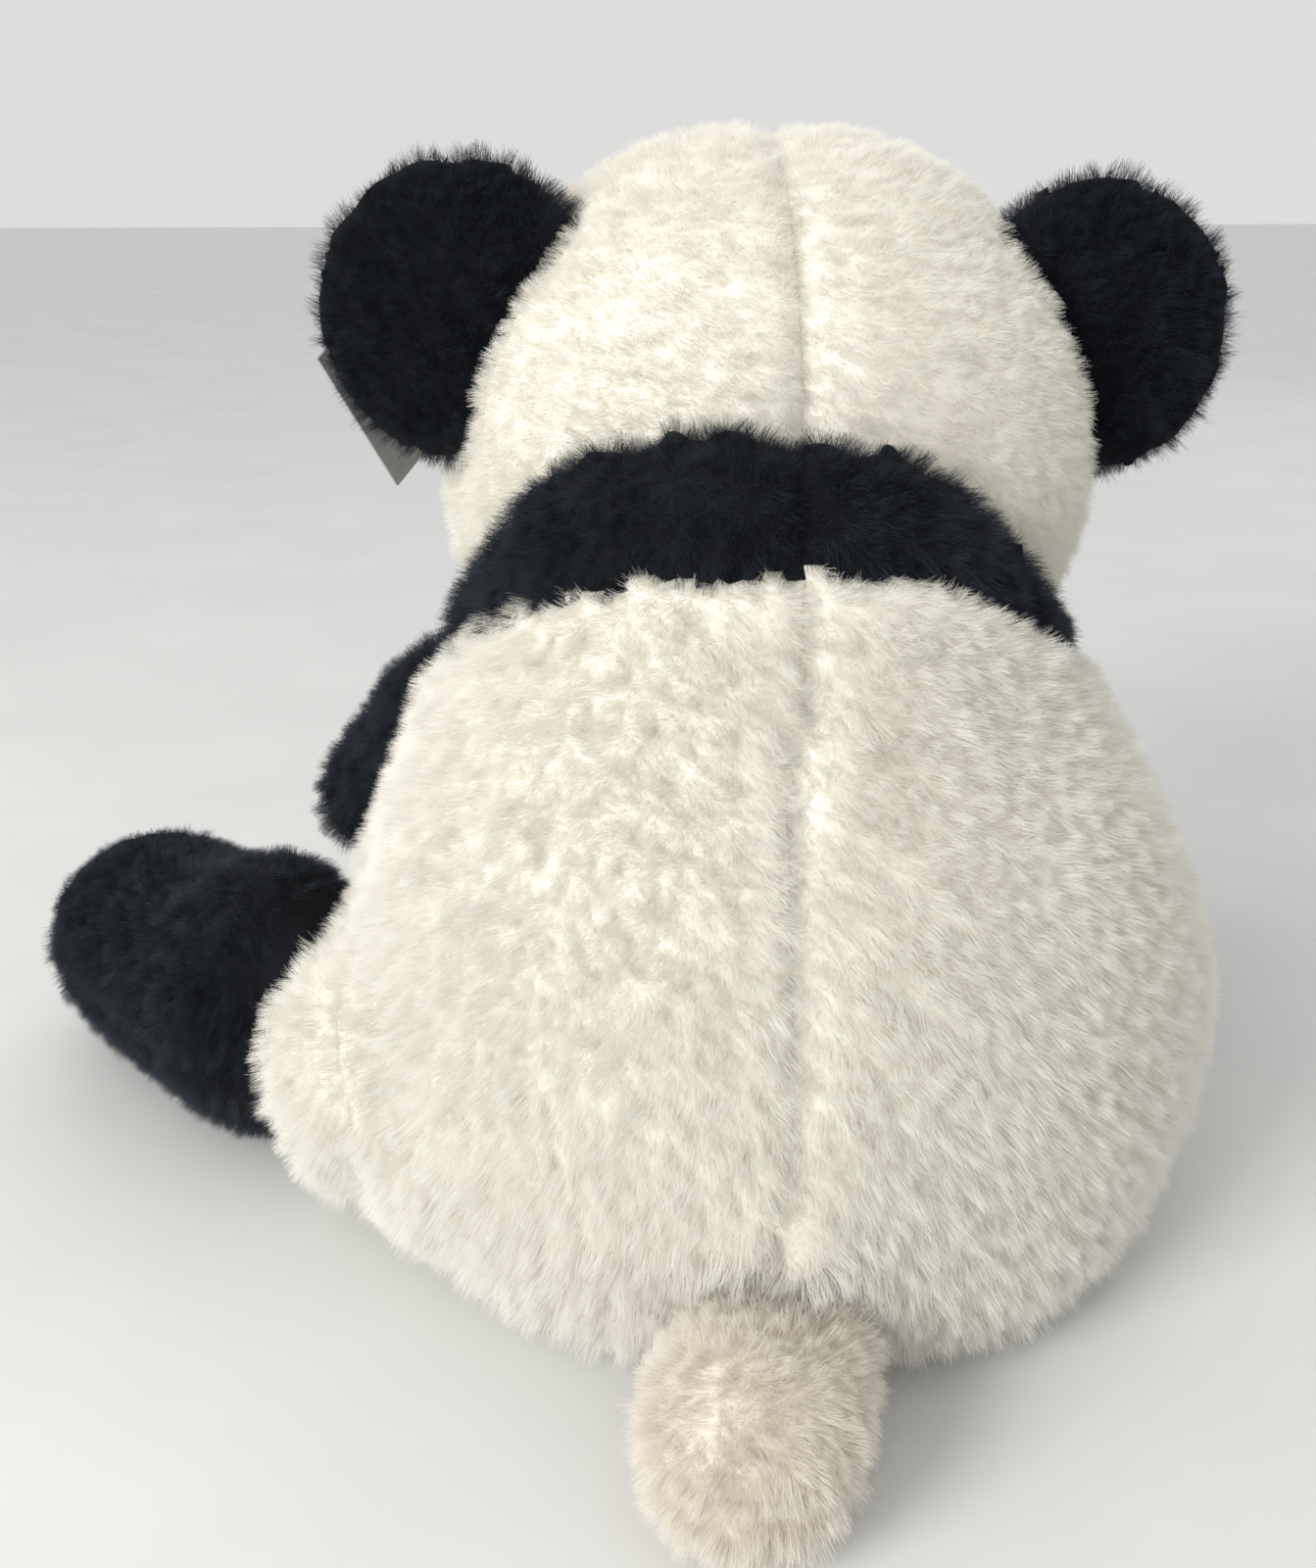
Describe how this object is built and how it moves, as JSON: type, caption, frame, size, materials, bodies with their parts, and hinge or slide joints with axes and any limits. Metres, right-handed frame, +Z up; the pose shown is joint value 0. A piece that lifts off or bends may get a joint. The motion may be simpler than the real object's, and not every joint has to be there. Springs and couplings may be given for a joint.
{
  "type": "plush panda",
  "caption": "Seated plush panda with long ivory pile, black ears, yoke, arms and legs, a stub tail and a swing tag, sewn joints modelled as hinges.",
  "frame": {"origin": "middle of the flat seat panel that the toy rests on", "axes": "+Z up, the panda faces -Y, its own left is +X"},
  "size_m": [0.3801, 0.3215, 0.2739],
  "materials": {
    "white_plush": "ivory acrylic long-pile plush, matte with a soft sheen",
    "black_plush": "black acrylic pile, matte with a blue-grey sheen on the tips",
    "tail_plush": "ivory pile with a faint pinkish beige cast, matte",
    "polyester_stuffing": "loose polyester fibre filling",
    "eye_plastic": "polished black plastic",
    "nose_plastic": "black plastic, satin",
    "washer_plastic": "natural polyethylene",
    "embroidery_thread": "black embroidery thread",
    "tag_card": "grey coated card, satin",
    "tag_filament": "translucent filament",
    "pellet_bag_cloth": "thin white non-woven cloth",
    "plastic_pellets": "loose plastic beads"
  },
  "bodies": {
    "torso": {"yoke_back_left": "black_plush", "yoke_back_right": "black_plush", "yoke_chest": "black_plush", "back_left": "white_plush", "back_right": "white_plush", "belly": "white_plush", "haunch_left": "white_plush", "haunch_right": "white_plush", "haunch_left_stuffing": "polyester_stuffing", "haunch_right_stuffing": "polyester_stuffing", "seat_base": "white_plush", "torso_stuffing": "polyester_stuffing", "pellet_bag": "pellet_bag_cloth", "pellets": "plastic_pellets"},
    "neck": {"neck_plug": "polyester_stuffing"},
    "head": {"head_back_left": "white_plush", "head_back_right": "white_plush", "face_left": "white_plush", "face_right": "white_plush", "muzzle": "white_plush", "eye_patch_left": "black_plush", "eye_patch_right": "black_plush", "eye_left": "eye_plastic", "eye_right": "eye_plastic", "eye_washer_left": "washer_plastic", "eye_washer_right": "washer_plastic", "nose": "nose_plastic", "nose_washer": "washer_plastic", "mouth_stitching": "embroidery_thread", "head_stuffing": "polyester_stuffing"},
    "ear_left": {"ear_left_back": "black_plush", "ear_left_front": "black_plush", "ear_left_batting": "polyester_stuffing", "tag_loop": "tag_filament"},
    "ear_right": {"ear_right_back": "black_plush", "ear_right_front": "black_plush", "ear_right_batting": "polyester_stuffing"},
    "swing_tag": {"hang_tag": "tag_card"},
    "arm_left": {"arm_left_outer": "black_plush", "arm_left_inner": "black_plush", "arm_left_stuffing": "polyester_stuffing"},
    "arm_right": {"arm_right_outer": "black_plush", "arm_right_inner": "black_plush", "arm_right_stuffing": "polyester_stuffing"},
    "leg_left": {"leg_left_upper": "black_plush", "leg_left_under": "black_plush", "foot_left_sole": "black_plush", "leg_left_stuffing": "polyester_stuffing"},
    "leg_right": {"leg_right_upper": "black_plush", "leg_right_under": "black_plush", "foot_right_sole": "black_plush", "leg_right_stuffing": "polyester_stuffing"},
    "tail": {"tail_upper": "tail_plush", "tail_under": "tail_plush", "tail_stuffing": "polyester_stuffing"}
  },
  "joints": [
    {"name": "neck_turn", "type": "hinge", "parent": "torso", "child": "neck", "pos_m": [-0.003, -0.032, 0.196], "axis": [0, 0, 1], "range_deg": [-20, 20], "stiffness_Nm_per_rad": 0.12},
    {"name": "head_nod", "type": "hinge", "parent": "neck", "child": "head", "pos_m": [-0.003, -0.032, 0.196], "axis": [1, 0, 0], "range_deg": [-8, 10], "stiffness_Nm_per_rad": 0.3},
    {"name": "ear_left_fold", "type": "hinge", "parent": "head", "child": "ear_left", "pos_m": [0.065, -0.014, 0.227], "axis": [0.4472, 0, -0.8944], "range_deg": [-15, 5], "stiffness_Nm_per_rad": 0.03},
    {"name": "ear_right_fold", "type": "hinge", "parent": "head", "child": "ear_right", "pos_m": [-0.0745, -0.014, 0.222], "axis": [0.4127, 0, 0.9109], "range_deg": [-15, 15], "stiffness_Nm_per_rad": 0.03},
    {"name": "tag_swing", "type": "hinge", "parent": "ear_left", "child": "swing_tag", "pos_m": [0.098, -0.047, 0.232], "axis": [0.7547, -0.6561, 0], "range_deg": [-10, 10]},
    {"name": "arm_left_raise", "type": "hinge", "parent": "torso", "child": "arm_left", "pos_m": [0.082, -0.034, 0.124], "axis": [-0.8051, -0.5932, 0], "range_deg": [0, 30], "stiffness_Nm_per_rad": 0.1},
    {"name": "arm_right_raise", "type": "hinge", "parent": "torso", "child": "arm_right", "pos_m": [-0.076, -0.036, 0.123], "axis": [-0.9693, 0.2459, 0], "range_deg": [0, 30], "stiffness_Nm_per_rad": 0.1},
    {"name": "leg_left_lift", "type": "hinge", "parent": "torso", "child": "leg_left", "pos_m": [0.1403, -0.01399, 0.0346], "axis": [-0.788, -0.6157, 0], "range_deg": [0, 15], "stiffness_Nm_per_rad": 0.2},
    {"name": "leg_right_lift", "type": "hinge", "parent": "torso", "child": "leg_right", "pos_m": [-0.10238, -0.05841, 0.0346], "axis": [-0.9511, 0.309, 0], "range_deg": [0, 15], "stiffness_Nm_per_rad": 0.2},
    {"name": "tail_lift", "type": "hinge", "parent": "torso", "child": "tail", "pos_m": [0.01, 0.122, 0.0225], "axis": [0.9404, -0.3401, 0], "range_deg": [0, 15], "stiffness_Nm_per_rad": 0.05}
  ]
}
